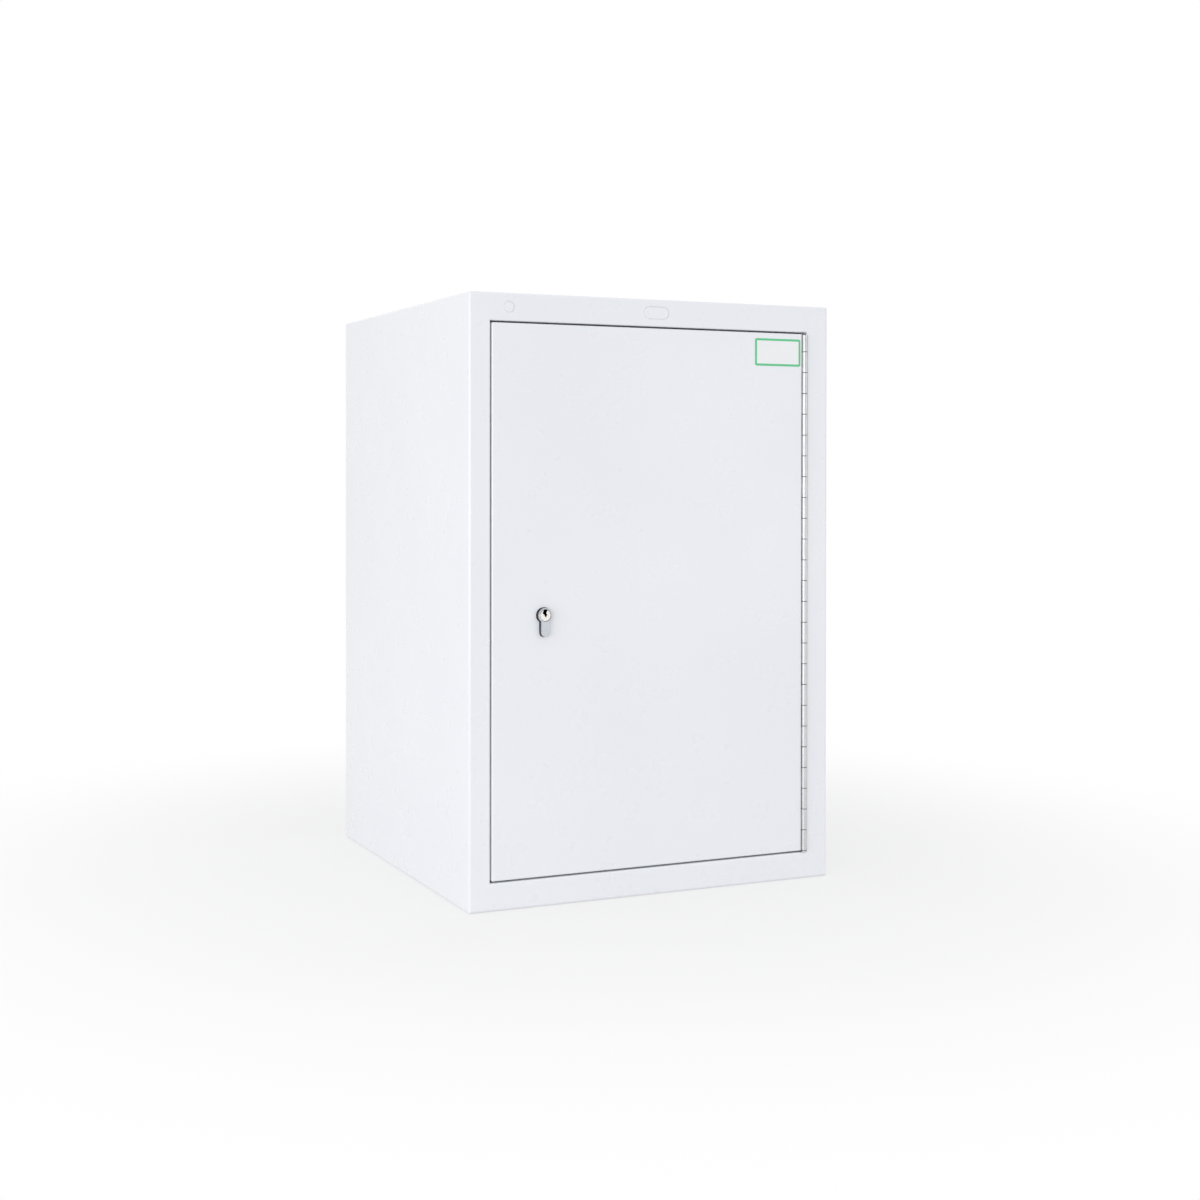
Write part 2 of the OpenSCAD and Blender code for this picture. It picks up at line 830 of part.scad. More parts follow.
module cam_gear() {
    color(brass)
    difference() {
        along_y(cam_front + 0.2, cam_back - 0.2) at_key() gear_outline(cam_teeth, 90);
        bar_y(cam_front - 1, cam_back + 1, key_x, key_z, journal_r + play / 2);
    }
}

module key_pins() {
    lengths = [3.2, 2.4, 3.6, 2.8, 3.4];
    color(brass)
    for (i = [0 : 4])
        translate([key_x, tumbler_ys[i], key_z - 6.55])
            cylinder(h = lengths[i], r = tumbler_r);
}

module driver_pins() {
    color(brass)
    for (y = tumbler_ys)
        translate([key_x, y, key_z - 11.5]) cylinder(h = 4.65, r = tumbler_r);
}

// Coil springs under the driver pins, each wound by one formula
module pin_springs() {
    turns = 4;
    rings = 6 * turns;
    sides = 4;
    coil_r = 1.05;
    wire_r = 0.22;
    z0 = key_z - 23.2;
    rise = 11.45;
    points = [
        for (k = [0 : rings], s = [0 : sides - 1])
            let (a = k * 360 * turns / rings, b = 45 + s * 360 / sides,
                 r = coil_r + wire_r * cos(b))
            [r * cos(a), r * sin(a), z0 + rise * k / rings + wire_r * sin(b)]
    ];
    skins = [
        for (k = [0 : rings - 1], s = [0 : sides - 1], half = [0, 1])
            let (a = k * sides + s, b = k * sides + (s + 1) % sides)
            half ? [a, b + sides, b] : [a, a + sides, b + sides]
    ];
    last = rings * sides;
    ends = [[0, 1, 2], [0, 2, 3], [last, last + 2, last + 1], [last, last + 3, last + 2]];
    color(zinc)
    for (y = tumbler_ys)
        translate([key_x, y, 0]) polyhedron(points, concat(skins, ends));
}

module cylinder_screw() {
    color(zinc)
    translate([case_r, cyl_mid, key_z - screw_drop]) rotate([0, 90, 0])
        screw(2.45, case_half_w + 4, 4.4, 2.8);
}

module gear_axle() {
    color(zinc) {
        bar_y(plate_front, case_back, key_x, gear_z, axle_r);
        bar_y(case_back, case_back + 1.2, key_x, gear_z, axle_r + 1.8);
    }
}

module drive_gear() {
    gear_back = gear_front + gear_t;
    color(zinc)
    difference() {
        union() {
            along_y(gear_front, gear_back) translate([key_x, gear_z])
                gear_outline(drive_teeth, 270 + 180 / drive_teeth);
            bar_y(pinion_front, gear_front + 1, key_x, gear_z, hub_r);
            bar_y(gear_back - 1, case_back - cover_t - 0.4, key_x, gear_z, hub_r);
        }
        bar_y(pinion_front - 1, case_back, key_x, gear_z, axle_r + play);
        for (a = [0 : 60 : 300])
            bar_y(gear_front - 1, gear_back + 1, key_x + 14 * cos(a), gear_z + 14 * sin(a), 3.5);
    }
}

module bolt_pinion() {
    color(brass)
    difference() {
        along_y(pinion_front, gear_front - 0.2) translate([key_x, gear_z])
            gear_outline(pinion_teeth, 0);
        bar_y(pinion_front - 1, gear_front + 1, key_x, gear_z, hub_r + play / 2);
    }
}

// The racks are on three sides of the pinion, so it drives the bars apart
module upper_rod() {
    color(zinc)
    along_y(rod_front, rod_front + bar_t)
        translate([key_x + pinion_r, gear_z])
            rack_bar(-rack_tail, door_top - bar_inset - gear_z, bar_w, -6, 1);
}

module lower_rod() {
    color(zinc)
    along_y(rod_front, rod_front + bar_t)
        translate([key_x - pinion_r, gear_z]) mirror([1, 0])
            rack_bar(door_b + bar_inset - gear_z, rack_tail, bar_w, -2, 5);
}

module side_bolt() {
    color(zinc)
    along_y(bolt_front, bolt_front + bar_t)
        translate([key_x, gear_z + pinion_r]) rotate(90)
            rack_bar(-rack_tail - 2, key_x - door_l - bar_inset, bolt_w, -7, 1,
                pinion_teeth / 4 - floor(pinion_teeth / 4));
}

module rod_guide(x, z) {
    color(black_nylon)
    difference() {
        along_y(skin_back, guide_back)
            round_rect([x - guide_side, z - guide_half_h],
                [x + bar_w + guide_side, z + guide_half_h], 2);
        box([x - 0.3, rod_front - 0.3, z - 20], [x + bar_w + 0.3, rod_front + bar_t + 0.3, z + 20]);
        for (sx = [x - guide_side / 2, x + bar_w + guide_side / 2])
            bar_y(skin_back + 0.5, guide_back + 1, sx, z, 1.8);
    }
}

module upper_rod_guide() rod_guide(upper_x, guide_zs[0]);
module lower_rod_guide() rod_guide(lower_x, guide_zs[1]);

module guide_screws() {
    places = [[upper_x, guide_zs[0]], [lower_x, guide_zs[1]]];
    color(zinc)
    for (p = places, sx = [-guide_side / 2, bar_w + guide_side / 2])
        screw_back(p[0] + sx, guide_back, p[1], 1.75, guide_back - skin_back - 2, 3.2, 2);
}

cabinet_wrap();
back_panel();
wall_fixing_plates();
round_knockout();
slot_knockout();
door_stop_top();
door_stop_bottom();
door_stop_latch();
door_buffers();
top_bolt_keeper();
bottom_bolt_keeper();
side_bolt_keeper();
shelf_strip_front_left();
shelf_strip_rear_left();
shelf_strip_front_right();
shelf_strip_rear_right();
shelf_clips_low();
shelf_clips_middle();
shelf_clips_high();
shelf_low();
shelf_middle();
shelf_high();
shelf_edges_low();
shelf_edges_middle();
shelf_edges_high();
hinge_leaf_frame();
hinge_leaf_door();
hinge_pin();
frame_hinge_rivets();
door_hinge_rivets();
door_skin();
door_stiffener_left();
door_stiffener_right();
door_label();
lock_spacers();
lock_base_plate();
lock_cover();
lock_screws();
cylinder_body();
cylinder_plug();
cam_gear();
key_pins();
driver_pins();
pin_springs();
cylinder_screw();
gear_axle();
drive_gear();
bolt_pinion();
upper_rod();
lower_rod();
side_bolt();
upper_rod_guide();
lower_rod_guide();
guide_screws();
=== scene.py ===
"""A white steel wall cabinet for medicines, dressed for its photograph.

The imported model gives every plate, bolt and pin its place. This script gives each of
them its finish, models the rolled, pressed and turned details, and sets up the studio.
Lengths are metres; MM turns millimetres into them.
"""

import json
import math

import bmesh
import bpy
from mathutils import Euler, Matrix, Vector

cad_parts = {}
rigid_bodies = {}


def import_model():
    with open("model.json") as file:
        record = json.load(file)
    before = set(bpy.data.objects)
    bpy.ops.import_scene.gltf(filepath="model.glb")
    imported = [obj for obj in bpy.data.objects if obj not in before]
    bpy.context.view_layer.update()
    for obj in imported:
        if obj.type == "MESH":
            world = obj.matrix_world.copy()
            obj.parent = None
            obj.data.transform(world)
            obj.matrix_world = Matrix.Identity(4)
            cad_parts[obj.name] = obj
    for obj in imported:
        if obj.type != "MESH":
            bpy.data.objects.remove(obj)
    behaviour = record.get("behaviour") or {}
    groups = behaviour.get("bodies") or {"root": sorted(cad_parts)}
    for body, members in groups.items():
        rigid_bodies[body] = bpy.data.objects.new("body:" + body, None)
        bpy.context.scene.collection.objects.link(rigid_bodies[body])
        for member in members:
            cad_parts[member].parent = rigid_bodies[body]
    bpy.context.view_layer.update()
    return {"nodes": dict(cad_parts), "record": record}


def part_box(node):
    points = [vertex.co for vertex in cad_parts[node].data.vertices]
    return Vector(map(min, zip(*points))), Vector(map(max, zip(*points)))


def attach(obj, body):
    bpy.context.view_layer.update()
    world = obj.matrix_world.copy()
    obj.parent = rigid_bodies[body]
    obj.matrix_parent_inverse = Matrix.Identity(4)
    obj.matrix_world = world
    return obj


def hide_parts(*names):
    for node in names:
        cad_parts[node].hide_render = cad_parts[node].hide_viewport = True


MM = 0.001
KNUCKLE_RADIUS = 3.4 * MM
KNUCKLE_PITCH = 25.4 * MM
FIRST_KNUCKLE = 20.6 * MM
KNUCKLE_CHAMFER = 0.42 * MM
WORN_EDGE = 0.25 * MM
BLANK_RIM = 0.95 * MM

for leftover in list(bpy.data.objects):
    bpy.data.objects.remove(leftover, do_unlink=True)
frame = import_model()
bpy.ops.object.select_all(action="DESELECT")

# ---------------------------------------------------------------- camera

PICTURE_SIDE = 1200
FOCAL_PIXELS = 1703.9
SENSOR = 36.0
PRINCIPAL_POINT = (509.3, 488.6)
CAMERA_PLACE = (-0.9497, -1.9972, 0.4925)
CAMERA_YAW = math.radians(23.25)
CAMERA_PITCH = math.radians(-0.425)
CAMERA_ROLL = math.radians(0.03)


def set_up_camera():
    """The viewpoint of the photograph, from the left of the front and a little above the middle."""
    lens = bpy.data.cameras.new("studio_camera")
    lens.sensor_width = SENSOR
    lens.lens = FOCAL_PIXELS / PICTURE_SIDE * SENSOR
    lens.shift_x = 0.5 - PRINCIPAL_POINT[0] / PICTURE_SIDE
    lens.shift_y = PRINCIPAL_POINT[1] / PICTURE_SIDE - 0.5
    lens.clip_start = 0.05
    lens.clip_end = 60
    camera = bpy.data.objects.new("studio_camera", lens)
    camera.location = CAMERA_PLACE
    turn = Euler((0, 0, -CAMERA_YAW)).to_matrix() @ Euler((math.pi / 2 + CAMERA_PITCH, 0, 0)).to_matrix()
    camera.rotation_euler = (turn @ Euler((0, 0, CAMERA_ROLL)).to_matrix()).to_euler()
    bpy.context.scene.collection.objects.link(camera)
    bpy.context.scene.camera = camera


# ---------------------------------------------------------------- finishes


class Finish:
    """One finish: a shader whose colour, gloss and relief vary over the metal in real sizes."""

    def __init__(self, name, metallic=0.0):
        self.material = bpy.data.materials.new(name)
        self.material.use_nodes = True
        self.tree = self.material.node_tree
        self.shader = self.tree.nodes["Principled BSDF"]
        self.shader.inputs["Metallic"].default_value = metallic
        self.place = self.add("ShaderNodeTexCoord").outputs["Object"]
        self.relief = None

    def add(self, kind, **settings):
        node = self.tree.nodes.new(kind)
        for key, value in settings.items():
            setattr(node, key, value)
        return node

    def feed(self, socket, value):
        """Links an output to a socket, or sets a plain value on it."""
        if isinstance(value, bpy.types.NodeSocket):
            self.tree.links.new(value, socket)
        elif value is not None:
            socket.default_value = value

    def math(self, operation, a, b=None, c=None):
        node = self.add("ShaderNodeMath", operation=operation)
        for socket, value in zip(node.inputs, (a, b, c)):
            self.feed(socket, value)
        return node.outputs[0]

    def stretched(self, scale, centre=(0, 0, 0), turn=(0, 0, 0)):
        """The place on the piece, measured from centre and stretched for a grain."""
        node = self.add("ShaderNodeMapping", vector_type="TEXTURE")
        node.inputs["Location"].default_value = centre
        node.inputs["Rotation"].default_value = turn
        node.inputs["Scale"].default_value = scale
        self.feed(node.inputs["Vector"], self.place)
        return node.outputs[0]

    def noise(self, size, detail=2.0, place=None, roughness=0.5, warp=0.0):
        """Soft noise whose patches are about size across."""
        node = self.add("ShaderNodeTexNoise")
        self.feed(node.inputs["Vector"], place or self.place)
        node.inputs["Scale"].default_value = 1 / size
        node.inputs["Detail"].default_value = detail
        node.inputs["Roughness"].default_value = roughness
        node.inputs["Distortion"].default_value = warp
        return node.outputs["Fac"]

    def cells(self, size, place=None, output="Color"):
        node = self.add("ShaderNodeTexVoronoi")
        self.feed(node.inputs["Vector"], place or self.place)
        node.inputs["Scale"].default_value = 1 / size
        return node.outputs[output]

    def spread(self, value, low, high, start=0.0, end=1.0):
        """Turns a value that runs from start to end into one from low to high."""
        node = self.add("ShaderNodeMapRange")
        for socket, number in zip(node.inputs, (value, start, end, low, high)):
            self.feed(socket, number)
        return node.outputs[0]

    def mix(self, amount, first, second):
        """A colour between two others."""
        node = self.add("ShaderNodeMix", data_type="RGBA")
        self.feed(node.inputs["Factor"], amount)
        self.feed(node.inputs["A"], (*first, 1) if isinstance(first, tuple) else first)
        self.feed(node.inputs["B"], (*second, 1) if isinstance(second, tuple) else second)
        return node.outputs["Result"]

    def bump(self, height, distance, strength=1.0):
        """Adds relief, of that depth, on top of what there is."""
        node = self.add("ShaderNodeBump")
        node.inputs["Strength"].default_value = strength
        node.inputs["Distance"].default_value = distance
        self.feed(node.inputs["Height"], height)
        if self.relief:
            self.feed(node.inputs["Normal"], self.relief)
        self.relief = node.outputs[0]
        self.feed(self.shader.inputs["Normal"], self.relief)

    def surface(self, colour=None, roughness=None, **others):
        if isinstance(colour, tuple):
            colour = (*colour, 1)
        self.feed(self.shader.inputs["Base Color"], colour)
        self.feed(self.shader.inputs["Roughness"], roughness)
        for key, value in others.items():
            self.feed(self.shader.inputs[key.replace("_", " ").capitalize()], value)
        return self.material


def powder_coat():
    """Semi-gloss white powder coat with faint orange peel, on sheet that isn't quite flat."""
    coat = Finish("white_paint")
    drift = coat.noise(0.18, detail=3)
    tone = coat.mix(coat.spread(drift, 0.0, 1.0, 0.35, 0.65), (0.845, 0.864, 0.906), (0.860, 0.878, 0.920))
    coat.bump(coat.noise(0.21, detail=1), 0.0006)
    coat.bump(coat.noise(0.0045, detail=0), 0.000006)
    gloss = coat.spread(coat.noise(0.03, detail=2), 0.26, 0.34, 0.3, 0.7)
    coat.shader.inputs["Coat Weight"].default_value = 0.25
    coat.shader.inputs["Coat Roughness"].default_value = 0.12
    return coat.surface(tone, gloss)


def zinc_plate():
    """Electroplated steel: a cool grey with faint spangle and fine drawing lines."""
    zinc = Finish("zinc_plate", metallic=1.0)
    spangle = zinc.cells(0.006)
    lines = zinc.noise(0.0006, detail=2, place=zinc.stretched((1, 1, 30)))
    tone = zinc.mix(zinc.noise(0.02, detail=3), (0.60, 0.62, 0.65), (0.72, 0.735, 0.755))
    tone = zinc.mix(zinc.spread(spangle, 0.0, 0.35), tone, (0.66, 0.69, 0.74))
    zinc.bump(lines, 0.000012)
    return zinc.surface(tone, zinc.spread(zinc.noise(0.009, detail=3), 0.27, 0.43, 0.3, 0.7))


def bright_steel(low, high):
    """Cold-rolled hinge strip with rolling lines, and painted shade with old oil in the joints of its
    knuckles.
    """
    steel = Finish("bright_steel", metallic=1.0)
    lines = steel.noise(0.00035, detail=3, place=steel.stretched((1, 1, 60)))
    tone = steel.mix(steel.noise(0.012, detail=3), (0.56, 0.575, 0.58), (0.66, 0.67, 0.675))
    split = steel.add("ShaderNodeSeparateXYZ")
    steel.feed(split.inputs[0], steel.stretched(
        (1, 1, 1), centre=((low.x + high.x) / 2, (low.y + high.y) / 2, high.z - FIRST_KNUCKLE)))
    from_axis = steel.math("SQRT", steel.math(
        "ADD", steel.math("POWER", split.outputs["X"], 2.0), steel.math("POWER", split.outputs["Y"], 2.0)))
    from_joint = steel.math("PINGPONG", split.outputs["Z"], KNUCKLE_PITCH / 2)
    # Painted shade with old oil: a dark line at each knuckle joint, on the barrel only
    joint_shade_and_oil = steel.math("MULTIPLY", steel.spread(from_joint, 0.9, 0.0, 0.18 * MM, 0.60 * MM),
                     steel.spread(from_axis, 1.0, 0.0, KNUCKLE_RADIUS + 0.1 * MM, KNUCKLE_RADIUS + 0.5 * MM))
    steel.bump(lines, 0.000010)
    steel.bump(steel.noise(0.0012, detail=2), 0.000006)
    return steel.surface(steel.mix(joint_shade_and_oil, tone, (0.05, 0.045, 0.04)), steel.spread(lines, 0.36, 0.48, 0.3, 0.7))


def screw_steel():
    """Bright zinc on a turned or headed fastener."""
    steel = Finish("screw_steel", metallic=1.0)
    grain = steel.noise(0.0005, detail=3)
    tone = steel.mix(steel.noise(0.004, detail=2), (0.60, 0.60, 0.58), (0.74, 0.745, 0.74))
    steel.bump(grain, 0.000008)
    return steel.surface(tone, steel.spread(grain, 0.22, 0.38, 0.3, 0.7))


def satin_nickel(low, high):
    """Nickel over brass: a cool housing and a warm, worn plug, with painted shade on the housing's flank,
    round the plug's rim and in its keyway.
    """
    nickel = Finish("satin_nickel", metallic=1.0)
    axis = (low + high) / 2
    split = nickel.add("ShaderNodeSeparateXYZ")
    nickel.feed(split.inputs[0], nickel.stretched((1, 1, 1), centre=(axis.x, low.y, axis.z)))
    radius = nickel.math("SQRT", nickel.math(
        "ADD", nickel.math("POWER", split.outputs["X"], 2.0), nickel.math("POWER", split.outputs["Z"], 2.0)))
    plug_radius = (high.x - low.x) / 2
    rings = nickel.add("ShaderNodeTexNoise", noise_dimensions="1D")
    nickel.feed(rings.inputs["W"], radius)
    rings.inputs["Scale"].default_value = 1 / 0.00018
    rings.inputs["Detail"].default_value = 2
    housing = nickel.mix(nickel.noise(0.004, detail=3), (0.50, 0.525, 0.575), (0.60, 0.62, 0.665))
    wear = nickel.spread(nickel.noise(0.0011, detail=3), 0.0, 1.0, 0.38, 0.62)
    plug = nickel.mix(wear, (0.68, 0.655, 0.63), (0.93, 0.90, 0.875))
    on_plug = nickel.spread(radius, 1.0, 0.0, plug_radius - 0.05 * MM, plug_radius + 0.05 * MM)
    tone = nickel.mix(on_plug, housing, plug)
    # Painted shade: a dark ring where the plug meets the housing
    from_joint = nickel.math("ABSOLUTE", nickel.math("SUBTRACT", radius, plug_radius + 0.03 * MM))
    joint_shade = nickel.spread(from_joint, 1.0, 0.0, 0.16 * MM, 0.50 * MM)
    # Painted shade in the keyway, darker with depth behind the plug's face
    depth = nickel.spread(split.outputs["Y"], 0.0, 1.0, 0.15 * MM, 1.2 * MM)
    within_plug = nickel.spread(radius, 1.0, 0.0, plug_radius - 0.3 * MM, plug_radius - 0.1 * MM)
    inside = nickel.math("MULTIPLY", depth, within_plug)
    painted_shade = nickel.math("MAXIMUM", nickel.math("MULTIPLY", joint_shade, 0.85), inside)
    # Painted shade on the housing's flank, from 0.7 mm to 9 mm behind the face
    flank_shade = nickel.math("MULTIPLY", nickel.spread(split.outputs["Y"], 0.0, 0.8, 0.7 * MM, 1.4 * MM),
                        nickel.spread(split.outputs["Y"], 1.0, 0.0, 7 * MM, 9 * MM))
    painted_shade = nickel.math("MAXIMUM", painted_shade, flank_shade)
    # The painted shade turns the colour nearly black and the surface rougher
    tone = nickel.mix(painted_shade, tone, (0.035, 0.033, 0.032))
    nickel.bump(rings.outputs["Fac"], 0.000010)
    nickel.bump(nickel.noise(0.0008, detail=2), 0.000004)
    gloss = nickel.spread(rings.outputs["Fac"], 0.20, 0.34, 0.3, 0.7)
    return nickel.surface(tone, nickel.math("MAXIMUM", gloss, nickel.math("MULTIPLY", painted_shade, 0.6)))


def turned_brass():
    """Yellow brass, turned or hobbed, dulled a little by handling."""
    brass = Finish("brass", metallic=1.0)
    tarnish = brass.noise(0.0035, detail=4)
    tone = brass.mix(brass.spread(tarnish, 0.0, 1.0, 0.35, 0.7), (0.78, 0.56, 0.24), (0.56, 0.38, 0.16))
    brass.bump(brass.noise(0.0004, detail=2), 0.000006)
    return brass.surface(tone, brass.spread(tarnish, 0.20, 0.38, 0.35, 0.7))


def black_nylon():
    """Moulded nylon, eroded to a fine matt grain."""
    nylon = Finish("black_nylon")
    grain = nylon.noise(0.0004, detail=2)
    tone = nylon.mix(nylon.noise(0.004, detail=2), (0.018, 0.018, 0.020), (0.030, 0.030, 0.032))
    nylon.bump(grain, 0.00002)
    return nylon.surface(tone, nylon.spread(grain, 0.42, 0.6, 0.3, 0.7))


def rubber():
    """Soft rubber of the door buffers, with a bloom of dust."""
    soft = Finish("rubber")
    bloom = soft.noise(0.003, detail=3)
    tone = soft.mix(soft.spread(bloom, 0.0, 1.0, 0.4, 0.75), (0.022, 0.022, 0.023), (0.055, 0.055, 0.056))
    soft.bump(soft.noise(0.0005, detail=2), 0.00002)
    return soft.surface(tone, soft.spread(bloom, 0.6, 0.8, 0.3, 0.7))


def label_vinyl(low, high):
    """White vinyl with a rounded green border."""
    vinyl = Finish("label_vinyl")
    centre = (low + high) / 2
    split = vinyl.add("ShaderNodeSeparateXYZ")
    vinyl.feed(split.inputs[0], vinyl.stretched((1, 1, 1), centre=centre))
    across, up = split.outputs["X"], split.outputs["Z"]
    corner = 2.8 * MM
    half_w = (high.x - low.x) / 2 - corner
    half_h = (high.z - low.z) / 2 - corner
    over_x = vinyl.math("MAXIMUM", vinyl.math("SUBTRACT", vinyl.math("ABSOLUTE", across), half_w), 0.0)
    over_z = vinyl.math("MAXIMUM", vinyl.math("SUBTRACT", vinyl.math("ABSOLUTE", up), half_h), 0.0)
    reach = vinyl.math("SQRT", vinyl.math(
        "ADD", vinyl.math("POWER", over_x, 2.0), vinyl.math("POWER", over_z, 2.0)))
    border = vinyl.spread(reach, 0.0, 1.0, 0.10 * MM, 0.35 * MM)
    green = vinyl.mix(vinyl.noise(0.002, detail=2), (0.085, 0.56, 0.24), (0.10, 0.60, 0.27))
    white = vinyl.mix(vinyl.noise(0.01, detail=2), (0.875, 0.89, 0.915), (0.90, 0.915, 0.935))
    vinyl.bump(vinyl.noise(0.0015, detail=2), 0.000008)
    return vinyl.surface(vinyl.mix(border, white, green), vinyl.spread(
        vinyl.noise(0.006, detail=2), 0.20, 0.28, 0.3, 0.7))


def finish_everything():
    """Gives each CAD node the finish of its material slot."""
    finishes = {
        "white_paint": powder_coat(),
        "zinc_plate": zinc_plate(),
        "bright_steel": bright_steel(*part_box("hinge_pin")),
        "screw_steel": screw_steel(),
        "satin_nickel": satin_nickel(*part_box("cylinder_plug")),
        "brass": turned_brass(),
        "black_nylon": black_nylon(),
        "rubber": rubber(),
        "label_vinyl": label_vinyl(*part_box("door_label")),
    }
    slots = {part["node"]: part["material_slot"] for part in frame["record"]["subparts"]}
    for name, node in frame["nodes"].items():
        for place in node.material_slots:
            place.material = finishes[slots[name]]
    return finishes


# ---------------------------------------------------------------- workbench

BODY_OF = {node: body for body, nodes in frame["record"]["behaviour"]["bodies"].items() for node in nodes}
SLOT_OF = {part["node"]: part["material_slot"] for part in frame["record"]["subparts"]}


def pick_only(*pieces):
    bpy.ops.object.select_all(action="DESELECT")
    for piece in pieces:
        piece.select_set(True)
    bpy.context.view_layer.objects.active = pieces[0]


def open_mesh(piece, kind="FACE"):
    """Starts work on a piece's faces, edges or corners."""
    pick_only(piece)
    bpy.ops.object.mode_set(mode="EDIT")
    bpy.ops.mesh.select_mode(type=kind)


def close_mesh():
    bpy.ops.object.mode_set(mode="OBJECT")


def choose(piece, kind, test):
    """Selects the faces or edges that pass the test, and nothing else."""
    shape = bmesh.from_edit_mesh(piece.data)
    for part in [*shape.faces, *shape.edges, *shape.verts]:
        part.select = False
    for part in getattr(shape, kind):
        if test(part):
            part.select_set(True)
    shape.select_flush_mode()
    bmesh.update_edit_mesh(piece.data)


def fair_copy(node):
    """A copy of a CAD node's mesh whose loose triangles are joined into whole faces."""
    piece = bpy.data.objects.new(node, frame["nodes"][node].data.copy())
    bpy.context.scene.collection.objects.link(piece)
    open_mesh(piece)
    bpy.ops.mesh.customdata_custom_splitnormals_clear()
    bpy.ops.mesh.select_all(action="SELECT")
    bpy.ops.mesh.remove_doubles(threshold=0.01 * MM)
    bpy.ops.mesh.dissolve_limited(angle_limit=math.radians(0.5))
    close_mesh()
    return piece


def solids_of(node):
    """The lowest and highest corner of each separate solid of a CAD node."""
    open_mesh(fair_copy(node))
    bpy.ops.mesh.select_all(action="SELECT")
    bpy.ops.mesh.separate(type="LOOSE")
    close_mesh()
    corners = []
    for part in list(bpy.context.selected_objects):
        places = [corner.co for corner in part.data.vertices]
        corners.append((Vector(min(p[i] for p in places) for i in range(3)),
                        Vector(max(p[i] for p in places) for i in range(3))))
        bpy.data.objects.remove(part)
    return sorted(corners, key=lambda pair: tuple(pair[0]))


def smooth(piece, angle=30):
    """Shades round walls round and flat ones flat."""
    pick_only(piece)
    bpy.ops.object.shade_smooth_by_angle(angle=math.radians(angle))
    even = piece.modifiers.new("even_shading", "WEIGHTED_NORMAL")
    even.keep_sharp = True
    bpy.ops.object.modifier_apply(modifier=even.name)


def turned(outline, steps=24):
    """A shape turned round Z from the (radius, height) points of half its section."""
    bpy.ops.mesh.primitive_plane_add(size=MM)
    piece = bpy.context.object
    open_mesh(piece, "VERT")
    bpy.ops.mesh.select_all(action="SELECT")
    bpy.ops.mesh.merge(type="CENTER")
    points = [Vector((radius, 0, height)) for radius, height in outline]
    bpy.ops.transform.translate(value=points[0])
    for last, point in zip(points, points[1:]):
        bpy.ops.mesh.extrude_vertices_move(TRANSFORM_OT_translate={"value": point - last})
    bpy.ops.mesh.select_all(action="SELECT")
    bpy.ops.mesh.spin(steps=steps, angle=2 * math.pi, center=(0, 0, 0), axis=(0, 0, 1))
    bpy.ops.mesh.select_all(action="SELECT")
    bpy.ops.mesh.remove_doubles(threshold=0.005 * MM)
    bpy.ops.mesh.normals_make_consistent(inside=False)
    close_mesh()
    return piece


def put(piece, place, direction):
    """Turns a piece's Z to a direction, moves it there and leaves its object at the origin."""
    piece.matrix_world = Matrix.LocRotScale(Vector(place), Vector(direction).to_track_quat("Z", "Y"), None)
    pick_only(piece)
    bpy.ops.object.transform_apply(location=True, rotation=True, scale=True)
    return piece


def joined(pieces):
    pick_only(*pieces)
    bpy.ops.object.join()
    return bpy.context.object


def hand_over(piece, name, *nodes):
    """Names a finished piece, gives it its finish and lets it stand for its CAD nodes."""
    piece.name = piece.data.name = name
    piece.data.materials.clear()
    piece.data.materials.append(finishes[SLOT_OF[nodes[0]]])
    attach(piece, BODY_OF[nodes[0]])
    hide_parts(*nodes)


# ---------------------------------------------------------------- hinge


def knuckled_leaf(node, name):
    """A leaf of the piano hinge: every knuckle has a chamfer at both ends, so the joints show."""
    pin_low, pin_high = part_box("hinge_pin")
    axis = (pin_low + pin_high) / 2
    leaf = fair_copy(node)
    open_mesh(leaf, "EDGE")

    def rims(edge):
        a, b = (corner.co for corner in edge.verts)
        return abs(a.z - b.z) < 0.01 * MM and all(
            abs(math.hypot(p.x - axis.x, p.y - axis.y) - KNUCKLE_RADIUS) < 0.03 * MM for p in (a, b))

    choose(leaf, "edges", rims)
    bpy.ops.mesh.bevel(
        offset=KNUCKLE_CHAMFER, offset_type="OFFSET", segments=2, profile=0.6, clamp_overlap=False)
    close_mesh()
    smooth(leaf)
    hand_over(leaf, name, node)


def hinge_pin():
    """The pin, with both ends peened over to a dome."""
    low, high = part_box("hinge_pin")
    radius = (high.x - low.x) / 2
    length = high.z - low.z
    dome = [(radius * math.cos(turn), radius * 0.5 * math.sin(turn))
            for turn in (math.radians(step) for step in (0, 25, 50, 70, 90))]
    outline = [(r, length - radius * 0.5 + rise) for r, rise in dome]
    outline = [(r, radius * 0.5 - rise) for r, rise in reversed(dome)] + outline
    outline[0] = (0, 0)
    outline[-1] = (0, length)
    pin = turned(outline, 20)
    put(pin, ((low.x + high.x) / 2, (low.y + high.y) / 2, low.z), (0, 0, 1))
    smooth(pin)
    hand_over(pin, "hinge_pin_peened", "hinge_pin")


def rivet_row(node, name, inward):
    """A row of rivets, domed on the leaf and rolled over behind the sheet."""
    rivets = []
    for low, high in solids_of(node):
        length = high.x - low.x
        outline = [(0, 0.35), (0.9, 0.35), (1.2, 0), (1.9, 0.05), (2.28, 0.4), (2.28, 0.9), (1.6, 0.9),
                   (1.6, length / MM - 1), (2.88, length / MM - 1), (2.85, length / MM - 0.72),
                   (2.6, length / MM - 0.4), (2.05, length / MM - 0.14), (1.1, length / MM - 0.02),
                   (0, length / MM)]
        rivet = turned([(radius * MM, height * MM) for radius, height in outline], 20)
        tail = high.x if inward < 0 else low.x
        put(rivet, (tail, (low.y + high.y) / 2, (low.z + high.z) / 2), (inward, 0, 0))
        rivets.append(rivet)
    row = joined(rivets)
    smooth(row)
    hand_over(row, name, node)


